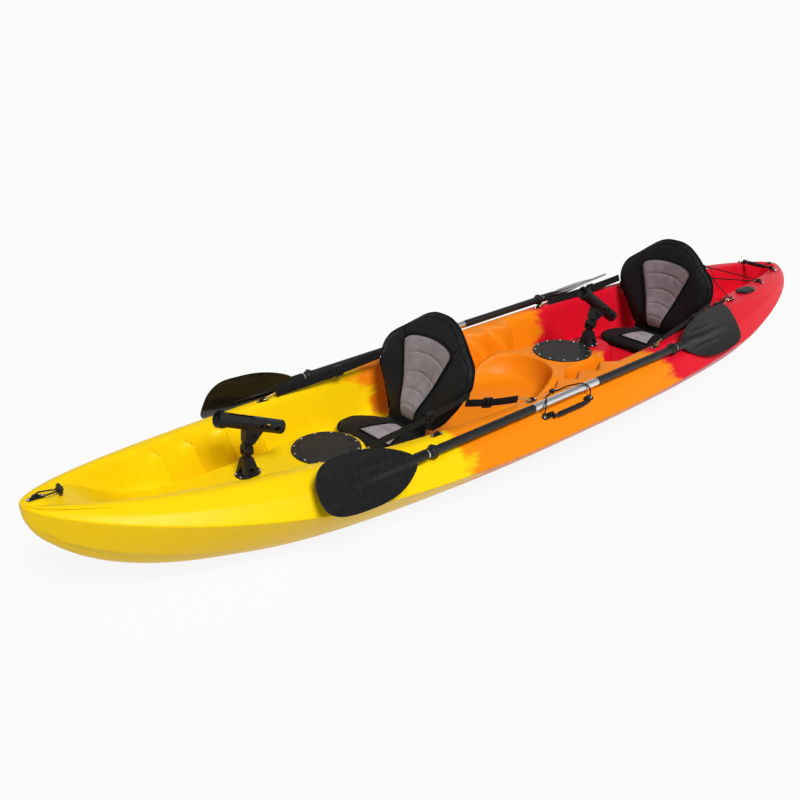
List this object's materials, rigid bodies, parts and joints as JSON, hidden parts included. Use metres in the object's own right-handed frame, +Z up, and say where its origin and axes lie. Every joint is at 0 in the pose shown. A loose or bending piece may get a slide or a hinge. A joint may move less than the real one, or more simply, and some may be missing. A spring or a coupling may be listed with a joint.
{
  "type": "tandem kayak",
  "caption": "Sit-on-top tandem kayak hull with padded seats, screw hatches, adjustable rod holders, carry handles, a bungee tank well and paddles stowed along the gunwales.",
  "frame": {"origin": "on the flat of the keel, amidships", "axes": "+X towards the bow, +Y to port, +Z up"},
  "size_m": [3.762, 0.9035, 0.5842],
  "materials": {
    "hull_plastic": "satin",
    "black_plastic": "matte",
    "blade_plastic": "gloss",
    "seat_fabric": "woven",
    "webbing": "woven",
    "cord": "matte",
    "seal": "matte",
    "steel": "polished",
    "clip_brass": "polished",
    "shaft_metal": "satin"
  },
  "bodies": {
    "hull_body": {"hull": "hull_plastic", "front_hatch_ring": "black_plastic", "front_hatch_gasket": "seal", "front_hatch_bin": "black_plastic", "rear_hatch_ring": "black_plastic", "rear_hatch_gasket": "seal", "rear_hatch_bin": "black_plastic", "hatch_screws": "steel", "deck_eyes": "black_plastic", "cargo_eyes": "black_plastic", "deck_rivets": "steel", "stern_handle_lugs": "black_plastic", "port_handle_lugs": "black_plastic", "starboard_handle_lugs": "black_plastic", "port_keeper_bungee": "cord", "starboard_keeper_bungee": "cord", "keeper_studs": "black_plastic", "cargo_bungee": "cord", "port_flush_holder": "black_plastic", "starboard_flush_holder": "black_plastic", "front_seat_pad": "seat_fabric", "rear_seat_pad": "seat_fabric", "front_seat_straps": "webbing", "rear_seat_straps": "webbing", "front_seat_buckles": "black_plastic", "rear_seat_buckles": "black_plastic", "front_seat_clips": "clip_brass", "rear_seat_clips": "clip_brass", "front_rod_base": "black_plastic", "rear_rod_base": "black_plastic", "rod_screws": "steel", "drain_plug": "black_plastic"},
    "front_lid": {"front_hatch_lid": "black_plastic"},
    "rear_lid": {"rear_hatch_lid": "black_plastic"},
    "front_back": {"front_backrest": "seat_fabric"},
    "rear_back": {"rear_backrest": "seat_fabric"},
    "port_paddle": {"port_paddle_shaft": "shaft_metal", "port_paddle_grips": "black_plastic", "port_paddle_blades": "blade_plastic", "port_paddle_rings": "black_plastic"},
    "starboard_paddle": {"starboard_paddle_shaft": "shaft_metal", "starboard_paddle_grips": "black_plastic", "starboard_paddle_blades": "blade_plastic", "starboard_paddle_rings": "black_plastic"},
    "port_grip": {"port_handle": "black_plastic"},
    "starboard_grip": {"starboard_handle": "black_plastic"},
    "stern_grip": {"stern_handle": "black_plastic"},
    "bow_pull": {"bow_toggle": "black_plastic", "bow_cord": "cord"},
    "port_cap": {"port_flush_cap": "black_plastic"},
    "starboard_cap": {"starboard_flush_cap": "black_plastic"},
    "front_rod_post_body": {"front_rod_post": "black_plastic"},
    "front_rod_tube_body": {"front_rod_tube": "black_plastic"},
    "front_rod_collar_body": {"front_rod_collar": "black_plastic"},
    "front_rod_knob_body": {"front_rod_knob": "black_plastic"},
    "rear_rod_post_body": {"rear_rod_post": "black_plastic"},
    "rear_rod_tube_body": {"rear_rod_tube": "black_plastic"},
    "rear_rod_collar_body": {"rear_rod_collar": "black_plastic"},
    "rear_rod_knob_body": {"rear_rod_knob": "black_plastic"}
  },
  "joints": [
    {"name": "front_lid_lift", "type": "slide", "parent": "hull_body", "child": "front_lid", "axis": [0, 0, 1], "range_m": [0, 0.08]},
    {"name": "rear_lid_lift", "type": "slide", "parent": "hull_body", "child": "rear_lid", "axis": [0, 0, 1], "range_m": [0, 0.08]},
    {"name": "front_backrest_fold", "type": "hinge", "parent": "hull_body", "child": "front_back", "pos_m": [0.565, 0, 0.16556], "axis": [0, 1, 0], "range_deg": [0, 75], "deforming": ["front_seat_straps", "front_seat_buckles"]},
    {"name": "rear_backrest_fold", "type": "hinge", "parent": "hull_body", "child": "rear_back", "pos_m": [-0.888, 0, 0.16556], "axis": [0, 1, 0], "range_deg": [0, 65], "deforming": ["rear_seat_straps", "rear_seat_buckles"]},
    {"name": "front_rod_swivel", "type": "hinge", "parent": "hull_body", "child": "front_rod_post_body", "pos_m": [1.216, 0, 0.203], "axis": [0, 0, 1], "range_deg": [-120, 120]},
    {"name": "front_rod_tilt", "type": "hinge", "parent": "front_rod_post_body", "child": "front_rod_tube_body", "pos_m": [1.216, 0, 0.295], "axis": [0, -1, 0], "range_deg": [-40, 30]},
    {"name": "front_rod_collar_turn", "type": "hinge", "parent": "front_rod_tube_body", "child": "front_rod_collar_body", "pos_m": [1.18305, 0, 0.369], "axis": [0.9135, 0, 0.4067], "range_deg": [-90, 90]},
    {"name": "front_rod_knob_turn", "type": "hinge", "parent": "front_rod_post_body", "child": "front_rod_knob_body", "pos_m": [1.216, 0, 0.295], "axis": [0, 1, 0], "range_deg": [-170, 170]},
    {"name": "rear_rod_swivel", "type": "hinge", "parent": "hull_body", "child": "rear_rod_post_body", "pos_m": [-0.424, 0, 0.226], "axis": [0, 0, 1], "range_deg": [-120, 120]},
    {"name": "rear_rod_tilt", "type": "hinge", "parent": "rear_rod_post_body", "child": "rear_rod_tube_body", "pos_m": [-0.424, 0, 0.318], "axis": [-0.0698, -0.9976, 0], "range_deg": [-50, 17]},
    {"name": "rear_rod_collar_turn", "type": "hinge", "parent": "rear_rod_tube_body", "child": "rear_rod_collar_body", "pos_m": [-0.47263, 0.0034, 0.38269], "axis": [0.7967, -0.0557, 0.6018], "range_deg": [-90, 90]},
    {"name": "rear_rod_knob_turn", "type": "hinge", "parent": "rear_rod_post_body", "child": "rear_rod_knob_body", "pos_m": [-0.424, 0, 0.318], "axis": [0.0698, 0.9976, 0], "range_deg": [-170, 170]},
    {"name": "port_paddle_lift", "type": "slide", "parent": "hull_body", "child": "port_paddle", "axis": [0, 0, 1], "range_m": [0, 0.15], "deforming": ["port_keeper_bungee"]},
    {"name": "starboard_paddle_lift", "type": "slide", "parent": "hull_body", "child": "starboard_paddle", "axis": [0, 0, 1], "range_m": [0, 0.15], "deforming": ["starboard_keeper_bungee"]},
    {"name": "port_handle_swing", "type": "hinge", "parent": "hull_body", "child": "port_grip", "pos_m": [0.16024, 0.39689, 0.26327], "axis": [0.9998, -0.0059, -0.02], "range_deg": [0, 95]},
    {"name": "starboard_handle_swing", "type": "hinge", "parent": "hull_body", "child": "starboard_grip", "pos_m": [0.16024, -0.39689, 0.26327], "axis": [-0.9998, -0.0059, 0.02], "range_deg": [0, 95]},
    {"name": "stern_handle_swing", "type": "hinge", "parent": "hull_body", "child": "stern_grip", "pos_m": [-1.71, 0, 0.32383], "axis": [0, -1, 0], "range_deg": [0, 95]},
    {"name": "bow_toggle_swing", "type": "hinge", "parent": "hull_body", "child": "bow_pull", "pos_m": [1.856, 0, 0.3668], "axis": [0, 1, 0], "range_deg": [0, 70]},
    {"name": "port_cap_lift", "type": "slide", "parent": "hull_body", "child": "port_cap", "axis": [0, 0, 1], "range_m": [0, 0.04]},
    {"name": "starboard_cap_lift", "type": "slide", "parent": "hull_body", "child": "starboard_cap", "axis": [0, 0, 1], "range_m": [0, 0.04]}
  ]
}
